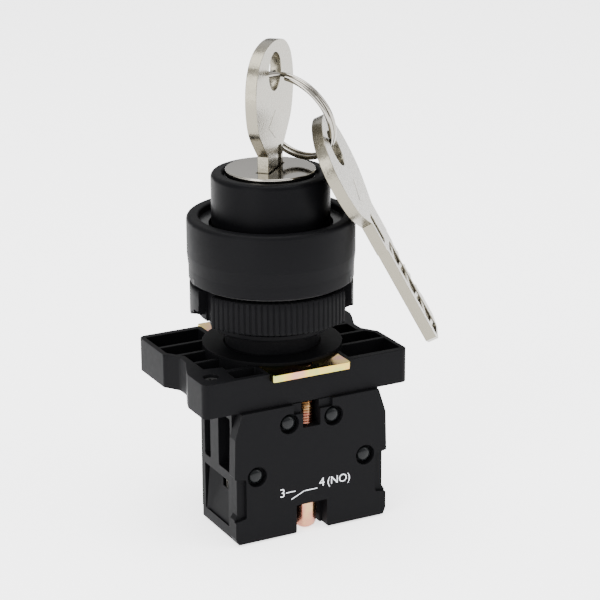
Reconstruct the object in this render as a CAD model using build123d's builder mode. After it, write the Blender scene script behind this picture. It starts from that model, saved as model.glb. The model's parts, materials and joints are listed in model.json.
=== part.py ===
from build123d import *
import os
from math import radians, sin

os.makedirs("parts", exist_ok=True)

# Every size is in millimetres. Z = 0 is the plane where the bezel sits on the
# panel, +Z points out of the panel, -Y is the front face of the contact block.

# --- bezel, body and nut -------------------------------------------------
BEZEL_R = 14.75
BEZEL_FOOT_R = 14.5
BEZEL_TOP_Z = 11.3
BEZEL_BORE_R = 12.0
RIM_INNER_R = 12.6
RECESS_Z = 9.9
THREAD_R = 11.0
THREAD_ROOT_R = 10.35
THREAD_PITCH = 1.5
THREAD_END_Z = -8.7
BODY_BORE_R = 8.85
NECK_R = 8.4
NECK_BORE_R = 7.2
NECK_END_Z = -14.9
NUT_R = 14.55
NUT_TOP_Z = -0.7
NUT_BOTTOM_Z = -6.4
NUT_SLOT_ANGLES = (189.5, 312.0)
NUT_CENTRE_ANGLE = 250.75
KNURL_PITCH_DEG = 4.0

# --- lock ----------------------------------------------------------------
CAP_R = 10.4
CAP_TOP_Z = 18.85
CAP_BORE_R = 7.75
BARREL_R = 7.7
BARREL_BORE_R = 6.1
PLUG_R = 6.0
FACE_R = 7.85
FACE_TOP_Z = 19.4
FACE_BOTTOM_Z = 18.3
TAIL_R = 4.2
KEY_ANGLE = 45.0
WAFER_LEVELS = (12.9, 10.5, 8.1, 5.7, 3.3)

# --- key -----------------------------------------------------------------
KEY_THICK = 2.0
KEY_TOP_Z = 41.7
SHOULDER_Z = 16.2
BLADE_TIP_Z = -4.6
BLADE_HALF = 4.0
BIT_HALF = 3.5
KEY_HOLE_Z = 36.4
KEY_HOLE_R = 3.3
SLOT_HALF_GAP = 1.2

# --- cam and follower ----------------------------------------------------
CAM_R = 6.4
RAMP_HEIGHT = 2.6
RAMP_FLOOR_Z = -14.3
FOOT_TOP_Z = -15.2
FOOT_BOTTOM_Z = -15.9
NOSE_RADIUS = 5.6

# --- mounting collar -----------------------------------------------------
COLLAR_TOP_Z = -12.6
COLLAR_BOTTOM_Z = -18.8
COLLAR_X = 20.0
COLLAR_Y = 14.2
PLATE_THICK = 1.3
FIXING_Y = 12.2
FIXING_HOLE_R = 1.75
CLAMP_XY = (17.0, 10.7)

# --- contact block -------------------------------------------------------
BLOCK_TOP_Z = -18.8
BLOCK_BOTTOM_Z = -42.8
BLOCK_X = 14.3
COVER_FRONT_Y = -15.0
COVER_BACK_Y = -12.8
BLOCK_BACK_Y = -0.3
PLUNGER_Y = -6.4
TERMINAL_X = 10.55
ENTRY_WALL = 1.3


def save(node, label):
    node.part.label = label
    export_step(node.part, f"parts/{label}.step")


# =========================== bezel =======================================
with BuildPart() as bezel_ring:
    with BuildSketch(Plane.XZ):
        with BuildLine():
            Polyline(
                (BEZEL_BORE_R, 0), (BEZEL_FOOT_R, 0), (BEZEL_FOOT_R, 3.0), (BEZEL_R, 3.2),
                (BEZEL_R, 10.5), (14.0, BEZEL_TOP_Z), (12.95, BEZEL_TOP_Z),
                (RIM_INNER_R, 10.95), (RIM_INNER_R, RECESS_Z), (10.8, RECESS_Z - 0.25),
                (10.8, 8.7), (BEZEL_BORE_R, 8.7), (BEZEL_BORE_R, 0),
            )
        make_face()
    revolve(axis=Axis.Z)
    with PolarLocations(BEZEL_FOOT_R, 2, start_angle=175):
        Box(1.4, 1.2, 1.2, align=(Align.CENTER, Align.CENTER, Align.MIN), mode=Mode.SUBTRACT)
    with PolarLocations(BEZEL_FOOT_R, 2, start_angle=315):
        Box(1.4, 1.2, 1.2, align=(Align.CENTER, Align.CENTER, Align.MIN), mode=Mode.SUBTRACT)
    # groove for the sealing gasket
    with BuildSketch(Plane.XY):
        Circle(14.1)
        Circle(12.3, mode=Mode.SUBTRACT)
    extrude(amount=0.7, mode=Mode.SUBTRACT)
save(bezel_ring, "bezel_ring")

with BuildPart() as sealing_gasket:
    with BuildSketch(Plane.XZ):
        with BuildLine():
            Polyline(
                (12.4, 0.68), (14.0, 0.68), (14.0, -0.1), (13.6, -0.4), (13.2, -0.1),
                (12.8, -0.4), (12.4, -0.1), (12.4, 0.68),
            )
        make_face()
    revolve(axis=Axis.Z)
save(sealing_gasket, "sealing_gasket")

# =================== operator body: flange, thread, neck ==================
thread_turns = int((-THREAD_END_Z - 0.4) / THREAD_PITCH)
body_profile = [(BODY_BORE_R, 8.6), (BEZEL_BORE_R, 8.6), (BEZEL_BORE_R, 0.0), (THREAD_R, 0.0)]
for turn in range(thread_turns):
    z = -0.4 - turn * THREAD_PITCH
    body_profile += [
        (THREAD_R, z - 0.15),
        (THREAD_ROOT_R, z - 0.65),
        (THREAD_ROOT_R, z - 0.85),
        (THREAD_R, z - 1.35),
    ]
body_profile += [
    (THREAD_R, THREAD_END_Z + 0.3), (THREAD_R - 0.4, THREAD_END_Z), (NECK_R, THREAD_END_Z),
    (NECK_R, NECK_END_Z), (NECK_BORE_R, NECK_END_Z), (NECK_BORE_R, THREAD_END_Z + 0.9),
    (BODY_BORE_R, THREAD_END_Z + 1.6), (BODY_BORE_R, 8.6),
]
with BuildPart() as operator_body:
    with BuildSketch(Plane.XZ):
        with BuildLine():
            Polyline(*body_profile)
        make_face()
    revolve(axis=Axis.Z)
    # bayonet lugs at the end of the neck
    with BuildSketch(Plane.XY.offset(NECK_END_Z)):
        Circle(9.75)
        Circle(NECK_BORE_R, mode=Mode.SUBTRACT)
        with PolarLocations(0, 2, start_angle=90):
            Rectangle(24, 7.0, align=(Align.MIN, Align.CENTER), mode=Mode.INTERSECT)
    extrude(amount=0.55)
    # key flat along the thread, found by the notch of the panel hole
    with Locations((0, 10.9, THREAD_END_Z)):
        Box(3.2, 1.0, -THREAD_END_Z - 0.1,
            align=(Align.CENTER, Align.CENTER, Align.MIN), mode=Mode.SUBTRACT)
save(operator_body, "operator_body")

# =========================== mounting nut =================================
knurl_count = 27
with BuildPart() as mounting_nut:
    with BuildSketch(Plane.XY.offset(NUT_BOTTOM_Z)):
        Circle(NUT_R)
        for side in (0, 180):
            first = NUT_CENTRE_ANGLE + side - KNURL_PITCH_DEG * (knurl_count - 1) / 2
            with PolarLocations(NUT_R, knurl_count, start_angle=first,
                                angular_range=KNURL_PITCH_DEG * knurl_count):
                Rectangle(0.7, 0.42, mode=Mode.SUBTRACT)
        # finger slots either side of the plain grips
        for side in (0, 180):
            for slot_angle in NUT_SLOT_ANGLES:
                with PolarLocations(NUT_R, 1, start_angle=slot_angle + side):
                    Rectangle(4.4, 3.6, mode=Mode.SUBTRACT)
    extrude(amount=NUT_TOP_Z - NUT_BOTTOM_Z)
    # the plain grips stop short of the lower face
    with BuildSketch(Plane.XY.offset(NUT_BOTTOM_Z)):
        for side in (0, 180):
            with PolarLocations(0, 1, start_angle=160.75 + side):
                with Locations((13.1, 0)):
                    Rectangle(6, 12.6, align=(Align.MIN, Align.CENTER))
    extrude(amount=1.9, mode=Mode.SUBTRACT)
    with BuildSketch(Plane.XY.offset(NUT_BOTTOM_Z)):
        Circle(THREAD_R + 0.06)
    extrude(amount=NUT_TOP_Z - NUT_BOTTOM_Z, mode=Mode.SUBTRACT)
save(mounting_nut, "mounting_nut")

# ============================ lock ========================================
with BuildPart() as lock_surround:
    with BuildSketch(Plane.XZ):
        with BuildLine():
            Polyline(
                (CAP_BORE_R, -7.0), (BODY_BORE_R, -7.0), (BODY_BORE_R, 8.65), (10.35, 8.65),
                (CAP_R, 17.9), (10.15, 18.55), (9.6, CAP_TOP_Z), (8.4, CAP_TOP_Z),
                (8.15, 18.7), (8.15, 17.95), (CAP_BORE_R, 17.95), (CAP_BORE_R, -7.0),
            )
        make_face()
    revolve(axis=Axis.Z)
save(lock_surround, "lock_surround")

with BuildPart() as lock_barrel:
    with BuildSketch(Plane.XY.offset(-6.9)):
        Circle(BARREL_R)
        Circle(BARREL_BORE_R, mode=Mode.SUBTRACT)
    extrude(amount=24.8)
    # channel the wafers spring into when the key is out, at both ends of travel
    with BuildSketch(Plane.XY.offset(1.8)):
        for lock_angle in (KEY_ANGLE, KEY_ANGLE - 90):
            with PolarLocations(0, 1, start_angle=lock_angle):
                Rectangle(14.2, 4.8)
        Circle(BARREL_BORE_R - 0.4, mode=Mode.SUBTRACT)
    extrude(amount=12.6, mode=Mode.SUBTRACT)
save(lock_barrel, "lock_barrel")

with BuildPart() as lock_plug:
    with BuildSketch(Plane.XY.offset(-6.6)):
        Circle(PLUG_R)
    extrude(amount=FACE_BOTTOM_Z + 6.6)
    with BuildSketch(Plane.XY.offset(-10.0)):
        Circle(TAIL_R)
    extrude(amount=3.4)
    # square seat for the cam and groove for the retaining clip
    with BuildSketch(Plane.XY.offset(-10.0)):
        Circle(TAIL_R + 1)
        Rectangle(5.8, 5.8, rotation=KEY_ANGLE, mode=Mode.SUBTRACT)
    extrude(amount=1.6, mode=Mode.SUBTRACT)
    with BuildSketch(Plane.XY.offset(-7.95)):
        Circle(TAIL_R + 1)
        Circle(3.4, mode=Mode.SUBTRACT)
    extrude(amount=0.6, mode=Mode.SUBTRACT)
    # keyway: wide mouth for the shoulder, narrow below it
    with BuildSketch(Plane.XY.offset(SHOULDER_Z - 0.35)):
        Rectangle(2 * BLADE_HALF + 0.5, 2 * SLOT_HALF_GAP, rotation=KEY_ANGLE)
    extrude(amount=5, mode=Mode.SUBTRACT)
    with BuildSketch(Plane.XY.offset(BLADE_TIP_Z - 0.5)):
        Rectangle(2 * BIT_HALF + 0.5, 2 * SLOT_HALF_GAP, rotation=KEY_ANGLE)
    extrude(amount=22, mode=Mode.SUBTRACT)
    for level in WAFER_LEVELS:
        with BuildSketch(Plane.XY.offset(level - 0.6)):
            Rectangle(13.0, 4.3, rotation=KEY_ANGLE)
        extrude(amount=1.2, mode=Mode.SUBTRACT)
        with BuildSketch(Plane.XY.offset(level - 0.6)):
            with PolarLocations(0, 1, start_angle=KEY_ANGLE):
                with Locations((0.4, 3.1)):
                    Rectangle(6.2, 2.1)
        extrude(amount=1.2, mode=Mode.SUBTRACT)
    # tapped hole for the cam screw
    with BuildSketch(Plane.XY.offset(-10.0)):
        Circle(1.4)
    extrude(amount=3.8, mode=Mode.SUBTRACT)
save(lock_plug, "lock_plug")

with BuildPart() as plug_face:
    with BuildSketch(Plane.XY.offset(FACE_BOTTOM_Z)):
        Circle(FACE_R)
    extrude(amount=FACE_TOP_Z - FACE_BOTTOM_Z)
    chamfer(plug_face.edges().filter_by(GeomType.CIRCLE).sort_by(Axis.Z)[-1], length=0.35)
    with BuildSketch(Plane.XY.offset(FACE_BOTTOM_Z)):
        Rectangle(2 * BLADE_HALF + 0.5, 2 * SLOT_HALF_GAP, rotation=KEY_ANGLE)
    extrude(amount=2, mode=Mode.SUBTRACT)
save(plug_face, "plug_face")

with BuildPart() as wafers:
    for level in WAFER_LEVELS:
        with BuildSketch(Plane.XY.offset(level - 0.5)):
            Circle(5.85)
            Rectangle(12, 4.1, rotation=KEY_ANGLE, mode=Mode.INTERSECT)
            with PolarLocations(0, 1, start_angle=KEY_ANGLE):
                with Locations((-1.9, 2.9)):
                    Rectangle(1.0, 1.9)
            Rectangle(7.9, 2.7, rotation=KEY_ANGLE, mode=Mode.SUBTRACT)
        extrude(amount=1.0)
save(wafers, "wafers")

with BuildPart() as wafer_springs:
    with BuildLine():
        Helix(pitch=0.62, height=4.3, radius=0.36)
    with BuildSketch(Plane(origin=(0.36, 0, 0), z_dir=(0, 1, 0.27))):
        Rectangle(0.26, 0.26)
    sweep(is_frenet=True)
one_spring = wafer_springs.part
spring_x = Location((0, 0, 0), (0, 0, KEY_ANGLE))
with BuildPart() as wafer_springs:
    with Locations(*[spring_x * Location((-1.15, 3.12, level), (0, 90, 0))
                     for level in WAFER_LEVELS]):
        add(one_spring)
save(wafer_springs, "wafer_springs")

with BuildPart() as plug_clip:
    with BuildSketch(Plane.XY.offset(-7.9)):
        Circle(6.3)
        Circle(3.5, mode=Mode.SUBTRACT)
        with Locations((4.5, 0)):
            Rectangle(6, 4.2, mode=Mode.SUBTRACT)
        with PolarLocations(6.3, 3, start_angle=60, angular_range=240):
            Circle(0.9, mode=Mode.SUBTRACT)
    extrude(amount=0.5)
save(plug_clip, "plug_clip")

# ================== cam, cam screw and follower ===========================
with BuildPart() as cam:
    with BuildSketch(Plane.XY.offset(-11.2)):
        Circle(CAM_R)
    extrude(amount=2.8)
    # two noses that ride up the follower ramps
    with BuildSketch(Plane.XY.offset(-13.15)):
        with PolarLocations(NOSE_RADIUS, 2, start_angle=KEY_ANGLE):
            Rectangle(1.5, 1.5)
    extrude(amount=2.2)
    for nose_angle in (KEY_ANGLE, KEY_ANGLE + 180):
        with PolarLocations(NOSE_RADIUS, 1, start_angle=nose_angle):
            with Locations((0, 0, -13.15)):
                Cylinder(0.75, 1.5, rotation=(0, 90, 0))
    with BuildSketch(Plane.XY.offset(-10.0)):
        Rectangle(5.84, 5.84, rotation=KEY_ANGLE)
    extrude(amount=2.0, mode=Mode.SUBTRACT)
    with BuildSketch(Plane.XY.offset(-12.0)):
        Circle(1.6)
    extrude(amount=3.0, mode=Mode.SUBTRACT)
save(cam, "cam")

with BuildPart() as cam_screw:
    with BuildSketch(Plane.XY.offset(-12.4)):
        Circle(2.5)
    extrude(amount=1.2)
    with BuildSketch(Plane.XY.offset(-11.2)):
        Circle(1.4)
    extrude(amount=4.6)
    with BuildSketch(Plane.XY.offset(-12.4)):
        Rectangle(2.6, 0.6)
        Rectangle(0.6, 2.6)
    extrude(amount=0.7, mode=Mode.SUBTRACT)
    chamfer(cam_screw.edges().filter_by(GeomType.CIRCLE).sort_by(Axis.Z)[0], length=0.3)
save(cam_screw, "cam_screw")

ramp_reach = NOSE_RADIUS * sin(radians(45))
with BuildPart() as follower:
    with BuildSketch(Plane.XY.offset(FOOT_BOTTOM_Z)):
        Circle(9.4)
        Circle(4.3, mode=Mode.SUBTRACT)
    extrude(amount=FOOT_TOP_Z - FOOT_BOTTOM_Z)
    # one ramp each side; the second is the first turned half a turn
    for turn in (0, 180):
        with BuildSketch(Plane.YZ.rotated((0, 0, turn))):
            with BuildLine():
                Polyline(
                    (8.0, FOOT_TOP_Z), (8.0, RAMP_FLOOR_Z), (ramp_reach, RAMP_FLOOR_Z),
                    (-ramp_reach, RAMP_FLOOR_Z + RAMP_HEIGHT),
                    (-8.0, RAMP_FLOOR_Z + RAMP_HEIGHT), (-8.0, FOOT_TOP_Z), (8.0, FOOT_TOP_Z),
                )
            make_face()
        extrude(amount=8.0)
    with BuildSketch(Plane.XY.offset(FOOT_BOTTOM_Z)):
        Circle(4.3)
    extrude(amount=8, mode=Mode.SUBTRACT)
    with BuildSketch(Plane.XY.offset(FOOT_TOP_Z)):
        Circle(20)
        Circle(6.8, mode=Mode.SUBTRACT)
    extrude(amount=8, mode=Mode.SUBTRACT)
save(follower, "follower")

# ======================= key (built in its own XZ plane) ==================
bow_side = [
    (BLADE_HALF, 22.4), (6.1, 24.3), (8.6, 27.0), (9.8, 29.9), (10.2, 33.0),
    (9.8, 36.0), (8.3, 38.8), (5.1, 40.9), (0, KEY_TOP_Z),
]
bow_far = [(-x, z) for x, z in reversed(bow_side[:-1])]

with BuildPart() as key:
    with BuildSketch(Plane.XZ):
        with BuildLine():
            Spline(*(bow_side + bow_far), tangents=((0.6, 1.0), (0.6, -1.0)))
            Line(bow_far[-1], bow_side[0])
        make_face()
    extrude(amount=KEY_THICK / 2, both=True)
    chamfer(key.edges().filter_by(lambda e: e.length > 20), length=0.25)
    # neck and shoulder
    with BuildSketch(Plane.XZ):
        with Locations((0, SHOULDER_Z)):
            Rectangle(2 * BLADE_HALF, 22.6 - SHOULDER_Z, align=(Align.CENTER, Align.MIN))
    extrude(amount=KEY_THICK / 2, both=True)
    # bitted blade
    bit_points = [(BIT_HALF, SHOULDER_Z + 0.2), (BIT_HALF, -3.4), (2.2, BLADE_TIP_Z),
                  (-1.6, BLADE_TIP_Z)]
    for level, depth in zip(reversed(WAFER_LEVELS), (0.5, 1.3, 0.8, 1.6, 0.6)):
        bit_points += [(-BIT_HALF, level - 1.75), (-BIT_HALF + depth, level - 0.6),
                       (-BIT_HALF + depth, level + 0.6)]
    bit_points += [(-BIT_HALF, WAFER_LEVELS[0] + 1.75), (-BIT_HALF, SHOULDER_Z + 0.2)]
    bit_points.insert(4, (-BIT_HALF, -2.6))
    with BuildSketch(Plane.XZ):
        with BuildLine():
            Polyline(*bit_points, close=True)
        make_face()
    extrude(amount=KEY_THICK / 2 - 0.1, both=True)
    # milled grooves, one each side and offset from the middle
    for side in (1, -1):
        with BuildSketch(Plane.XZ.offset(side * KEY_THICK / 2)):
            with Locations((side * 1.1, (21.4 + BLADE_TIP_Z) / 2 - 0.5)):
                Rectangle(1.7, 21.4 - BLADE_TIP_Z + 1)
        extrude(amount=-side * 0.55, mode=Mode.SUBTRACT)
    # ring hole and shallow sunk faces of the bow
    with BuildSketch(Plane.XZ):
        with Locations((0, KEY_HOLE_Z)):
            Circle(KEY_HOLE_R)
    extrude(amount=5, both=True, mode=Mode.SUBTRACT)
local_key = key.part
key.part = local_key.moved(Location((0, 0, 0), (0, 0, KEY_ANGLE)))
key.part.label = "key"
export_step(key.part, "parts/key.step")

# ======================= split ring and spare key =========================
RING_CENTRE = (3.869, -1.273, 28.412)
RING_NORMAL = (-0.8463, -0.404, -0.3471)
RING_R = 8.2
RING_WIRE_R = 0.42
ring_pitch = 0.86
with BuildPart() as split_ring_coil:
    with BuildLine():
        Helix(pitch=ring_pitch, height=ring_pitch * 1.93, radius=RING_R,
              center=(0, 0, -ring_pitch * 0.965))
    with BuildSketch(Plane(origin=(RING_R, 0, -ring_pitch * 0.965), z_dir=(0, 1, 0.018))):
        Circle(RING_WIRE_R)
    sweep()
ring_plane = Plane(origin=RING_CENTRE, x_dir=(-0.5, 0.15, 1.02), z_dir=RING_NORMAL)
with BuildPart() as split_ring:
    add(ring_plane.location * split_ring_coil.part)
save(split_ring, "split_ring")

SPARE_TOP = (5.979, -5.774, 27.488)
SPARE_DOWN = (0.4769, -0.0595, -0.8769)
SPARE_OUT = (0.7461, -0.5001, 0.4397)
spare_axis = Vector(*SPARE_DOWN).normalized()
spare_out = Vector(*SPARE_OUT)
spare_out = (spare_out - spare_axis * spare_out.dot(spare_axis)).normalized()
spare_origin = Vector(*SPARE_TOP) + spare_axis * KEY_TOP_Z
spare_plane = Plane(origin=spare_origin, x_dir=spare_out.cross(-spare_axis), z_dir=-spare_axis)
with BuildPart() as spare_key:
    add(spare_plane.location * local_key)
save(spare_key, "spare_key")

# ======================= mounting collar ==================================
S_CURVE = [
    (-COLLAR_X, -COLLAR_Y), (-COLLAR_X, -7.6), (-19.3, -5.6), (-17.7, -1.9), (-17.7, 0.6),
    (-19.0, 2.6), (-19.6, 3.4), (-19.6, COLLAR_Y),
]
collar_outline = S_CURVE + [(-x, -y) for x, y in S_CURVE]
inner_left = [
    (-18.7, 12.9), (-18.7, 3.9), (-16.5, 1.0), (-16.5, -6.6), (-13.2, -7.2), (-13.2, -8.6),
    (-8.4, -8.6), (-8.4, 12.9),
]
inner_right = [(-x, -y) for x, y in inner_left]
front_pocket = [(-13.6, -9.6), (-8.2, -9.6), (-8.2, -13.2), (-13.6, -13.2)]
rear_pocket = [(-x, -y) for x, y in front_pocket]
POCKET_FLOOR_Z = -17.4
with BuildPart() as mounting_collar:
    with BuildSketch(Plane.XY.offset(COLLAR_BOTTOM_Z)):
        with BuildLine():
            Polyline(*collar_outline, close=True)
        make_face()
    extrude(amount=COLLAR_TOP_Z - COLLAR_BOTTOM_Z)
    corner_edges = mounting_collar.edges().filter_by(Axis.Z)
    far_corners = corner_edges.filter_by(
        lambda e: abs(abs(e.center().Y) - COLLAR_Y) < 0.1
    )
    fillet(far_corners, radius=1.2)
    for pocket in (inner_left, inner_right, front_pocket, rear_pocket):
        with BuildSketch(Plane.XY.offset(POCKET_FLOOR_Z)):
            with BuildLine():
                Polyline(*pocket, close=True)
            make_face()
        extrude(amount=6, mode=Mode.SUBTRACT)
    # stiffening ribs across the pockets
    for side in (1, -1):
        with BuildSketch(Plane.XY.offset(POCKET_FLOOR_Z)):
            for rib_y in (6.9, 1.9, -3.0):
                with Locations((-side * 13.5, side * rib_y)):
                    Rectangle(10.6 if rib_y > 5 else 6.2, 0.8)
        extrude(amount=COLLAR_TOP_Z - POCKET_FLOOR_Z - 0.1)
    # hub around the neck, its roof stands a little above the walls
    with BuildSketch(Plane.XY.offset(COLLAR_BOTTOM_Z)):
        Circle(12.4)
    extrude(amount=COLLAR_TOP_Z - COLLAR_BOTTOM_Z)
    with BuildSketch(Plane.XY.offset(COLLAR_TOP_Z)):
        Circle(12.4)
    extrude(amount=0.6)
    # clamp screw bosses at two opposite corners
    with BuildSketch(Plane.XY.offset(COLLAR_BOTTOM_Z)):
        with Locations((-CLAMP_XY[0], -CLAMP_XY[1]), CLAMP_XY):
            Circle(2.9)
    extrude(amount=COLLAR_TOP_Z - COLLAR_BOTTOM_Z)
    # bore for the neck, wider below for the lugs and the follower foot
    with BuildSketch(Plane.XY.offset(COLLAR_BOTTOM_Z)):
        Circle(NECK_R + 0.1)
    extrude(amount=8, mode=Mode.SUBTRACT)
    with BuildSketch(Plane.XY.offset(COLLAR_BOTTOM_Z)):
        Circle(10.1)
    extrude(amount=4.5, mode=Mode.SUBTRACT)
    # seat of the steel plate, open at both tabs
    with BuildSketch(Plane.XY.offset(COLLAR_TOP_Z - PLATE_THICK - 0.02)):
        Circle(12.15)
        Rectangle(15.1, 40)
        Circle(9.3, mode=Mode.SUBTRACT)
    extrude(amount=PLATE_THICK + 0.02, mode=Mode.SUBTRACT)
    # screw holes under the two plate threads and through the clamp bosses
    with BuildSketch(Plane.XY.offset(COLLAR_BOTTOM_Z)):
        with Locations((0, -FIXING_Y), (0, FIXING_Y)):
            Circle(FIXING_HOLE_R)
        with Locations((-CLAMP_XY[0], -CLAMP_XY[1]), CLAMP_XY):
            Circle(1.35)
    extrude(amount=10, mode=Mode.SUBTRACT)
    with BuildSketch(Plane.XY.offset(COLLAR_TOP_Z)):
        with Locations((-CLAMP_XY[0], -CLAMP_XY[1]), CLAMP_XY):
            Circle(2.0)
    extrude(amount=-0.8, mode=Mode.SUBTRACT)
save(mounting_collar, "mounting_collar")

with BuildPart() as clamp_plate:
    with BuildSketch(Plane.XY.offset(COLLAR_TOP_Z - PLATE_THICK)):
        Circle(12.0)
        Rectangle(15.0, 30.8)
        Circle(9.35, mode=Mode.SUBTRACT)
        with Locations((0, -FIXING_Y), (0, FIXING_Y)):
            Circle(1.55, mode=Mode.SUBTRACT)
    extrude(amount=PLATE_THICK)
save(clamp_plate, "clamp_plate")

with BuildPart() as collar_clamp_screws:
    for x, y in ((-CLAMP_XY[0], -CLAMP_XY[1]), CLAMP_XY):
        with BuildSketch(Plane.XY.offset(-18.4)):
            with Locations((x, y)):
                Circle(1.3)
        extrude(amount=5.2)
        with BuildSketch(Plane.XY.offset(-14.6)):
            with Locations((x, y)):
                Rectangle(1.9, 0.45)
                Rectangle(0.45, 1.9)
        extrude(amount=2.0, mode=Mode.SUBTRACT)
save(collar_clamp_screws, "collar_clamp_screws")

# ======================= contact block ====================================
CAVITY_Z = (-41.4, -20.3)
with BuildPart() as block_housing:
    with BuildSketch(Plane.XY.offset(BLOCK_BOTTOM_Z)):
        with Locations((0, (COVER_BACK_Y + BLOCK_BACK_Y) / 2)):
            Rectangle(2 * BLOCK_X, BLOCK_BACK_Y - COVER_BACK_Y)
    extrude(amount=BLOCK_TOP_Z - BLOCK_BOTTOM_Z)
    # contact chamber in the middle
    with BuildSketch(Plane.XY.offset(CAVITY_Z[0])):
        with Locations((0, PLUNGER_Y)):
            Rectangle(15.2, 7.4)
    extrude(amount=CAVITY_Z[1] - CAVITY_Z[0], mode=Mode.SUBTRACT)
    with BuildSketch(Plane.XY.offset(BLOCK_TOP_Z)):
        with Locations((0, PLUNGER_Y)):
            Rectangle(5.6, 4.6)
    extrude(amount=-3, mode=Mode.SUBTRACT)
    for side in (-1, 1):
        # upper side window with its upright bar
        with BuildSketch(Plane.YZ.offset(side * BLOCK_X)):
            with Locations((-9.7, -25.4)):
                Rectangle(4.6, 10.0)
            with Locations((-2.95, -25.4)):
                Rectangle(2.3, 10.0)
        extrude(amount=-side * 5.4, mode=Mode.SUBTRACT)
        # terminal chamber and wire entry
        with BuildSketch(Plane.YZ.offset(side * BLOCK_X)):
            with Locations((PLUNGER_Y, -36.4)):
                Rectangle(9.4, 8.6)
        extrude(amount=-side * 5.9, mode=Mode.SUBTRACT)
        # outer wall with the smaller mouth that guides the wire in
        with BuildSketch(Plane.YZ.offset(side * BLOCK_X)):
            with Locations((PLUNGER_Y, -36.4)):
                Rectangle(9.4, 8.6)
        extrude(amount=-side * ENTRY_WALL)
        with BuildSketch(Plane.YZ.offset(side * BLOCK_X)):
            with Locations((-8.7, -34.55)):
                Rectangle(4.8, 4.9)
        extrude(amount=-side * ENTRY_WALL, mode=Mode.SUBTRACT)
        # screwdriver access from below
        with BuildSketch(Plane.XY.offset(BLOCK_BOTTOM_Z)):
            with Locations((side * TERMINAL_X, PLUNGER_Y)):
                Circle(2.6)
        extrude(amount=3, mode=Mode.SUBTRACT)
        # slot for the fixed contact strip
        with BuildSketch(Plane.YZ.offset(side * 9.0)):
            with Locations((PLUNGER_Y, -32.55)):
                Rectangle(5.3, 0.9)
        extrude(amount=-side * 3, mode=Mode.SUBTRACT)
    # channel for the captive screw
    with BuildSketch(Plane.XY.offset(BLOCK_BOTTOM_Z)):
        with Locations((0, -FIXING_Y - 0.15)):
            Rectangle(4.0, 4.1)
    extrude(amount=40, mode=Mode.SUBTRACT)
    with BuildSketch(Plane.XY.offset(BLOCK_BOTTOM_Z)):
        with Locations((0, -FIXING_Y - 0.15)):
            Rectangle(5.2, 4.9)
    extrude(amount=5.6, mode=Mode.SUBTRACT)
save(block_housing, "block_housing")

cover_side = [
    (13.3, BLOCK_TOP_Z), (14.7, -23.2), (14.9, -30.2), (14.3, -30.6), (14.3, -37.4),
    (14.8, -38.2), (14.8, -41.6), (14.3, BLOCK_BOTTOM_Z),
]
with BuildPart() as block_cover:
    with BuildSketch(Plane.XZ.offset(-COVER_BACK_Y)):
        with BuildLine():
            Polyline(*(cover_side + [(-x, z) for x, z in reversed(cover_side)]), close=True)
        make_face()
    extrude(amount=COVER_BACK_Y - COVER_FRONT_Y)
    chamfer(block_cover.faces().sort_by(Axis.Y)[0].edges().filter_by(
        lambda e: abs(e.center().X) > 10), length=0.3)
    with BuildSketch(Plane.XY.offset(BLOCK_BOTTOM_Z)):
        with Locations((0, -FIXING_Y - 0.15)):
            Rectangle(4.0, 4.1)
    extrude(amount=40, mode=Mode.SUBTRACT)
    # window over the screw shank and open foot over the screw head
    with BuildSketch(Plane.XZ.offset(-COVER_BACK_Y)):
        with Locations((0, -21.0)):
            Rectangle(3.4, 4.6)
        with Locations((0, -40.2)):
            Rectangle(6.0, 5.3)
    extrude(amount=5, mode=Mode.SUBTRACT)
    # sunk seats of the four studs
    with BuildSketch(Plane.XZ.offset(-COVER_FRONT_Y)):
        with Locations((-4.3, -22.1), (4.3, -22.1), (-10.6, -30.7), (10.6, -30.7)):
            Circle(1.85)
    extrude(amount=-1.2, mode=Mode.SUBTRACT)
    # sunk grips at the lower corners
    with BuildSketch(Plane.XZ.offset(-COVER_FRONT_Y)):
        with Locations((-13.7, -34.4), (13.7, -34.4)):
            Rectangle(2.0, 7.0)
    extrude(amount=-0.5, mode=Mode.SUBTRACT)
save(block_cover, "block_cover")

with BuildPart() as cover_studs:
    for x, z in ((-4.3, -22.1), (4.3, -22.1), (-10.6, -30.7), (10.6, -30.7)):
        with BuildSketch(Plane.XZ.offset(-COVER_FRONT_Y - 1.2)):
            with Locations((x, z)):
                Circle(1.3)
        extrude(amount=1.0)
    fillet(cover_studs.faces().sort_by(Axis.Y)[:4].edges(), radius=0.5)
save(cover_studs, "cover_studs")

PLUNGER_TOP_Z = -16.5
BRIDGE_Z = -27.4
with BuildPart() as plunger:
    with BuildSketch(Plane.XY.offset(-30.6)):
        with Locations((0, PLUNGER_Y)):
            Rectangle(5.0, 4.0)
    extrude(amount=PLUNGER_TOP_Z + 30.6)
    chamfer(plunger.faces().sort_by(Axis.Z)[-1].edges(), length=0.5)
    # window for the moving bridge and its spring
    with BuildSketch(Plane.XZ.offset(-PLUNGER_Y)):
        with Locations((0, -25.6)):
            Rectangle(2.6, 5.2)
    extrude(amount=6, both=True, mode=Mode.SUBTRACT)
    with BuildSketch(Plane.YZ):
        with Locations((PLUNGER_Y, -25.6)):
            Rectangle(2.6, 5.2)
    extrude(amount=6, both=True, mode=Mode.SUBTRACT)
save(plunger, "plunger")

with BuildPart() as contact_bridge:
    with BuildSketch(Plane.XY.offset(BRIDGE_Z - 0.3)):
        with Locations((0, PLUNGER_Y)):
            Rectangle(14.6, 1.9)
            with GridLocations(12.0, 1, 2, 1):
                Rectangle(2.6, 3.6)
    extrude(amount=0.6)
save(contact_bridge, "contact_bridge")

with BuildPart() as bridge_tips:
    with BuildSketch(Plane.XY.offset(BRIDGE_Z - 0.3)):
        with Locations((-6.0, PLUNGER_Y), (6.0, PLUNGER_Y)):
            Circle(1.1)
    extrude(amount=-0.5)
save(bridge_tips, "bridge_tips")


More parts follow.
